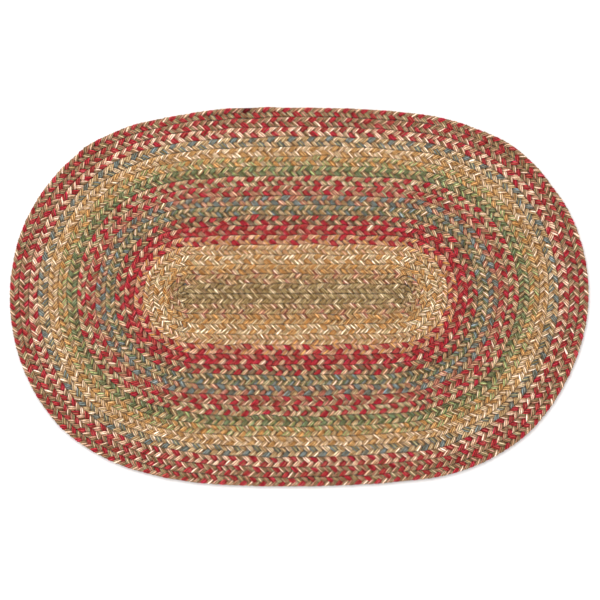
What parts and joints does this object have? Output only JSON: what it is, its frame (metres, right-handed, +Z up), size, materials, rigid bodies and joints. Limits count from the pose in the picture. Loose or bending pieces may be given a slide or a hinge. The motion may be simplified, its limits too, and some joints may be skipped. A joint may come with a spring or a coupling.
{
  "type": "braided rug",
  "caption": "Flat oval rug of plaited yarn braids laid side by side round a short centre slit, with a rounded edge and shallow grooves between the braids.",
  "frame": {"origin": "middle of the rug's outline, on the floor under it", "axes": "+X along the long sides, +Y across the rug towards the far long side, +Z up out of the floor"},
  "size_m": [0.7618, 0.4996, 0.009],
  "materials": {
    "braided_yarn": "matt yarn in mixed colours"
  },
  "bodies": {
    "root": {"rug": "braided_yarn"}
  },
  "joints": []
}
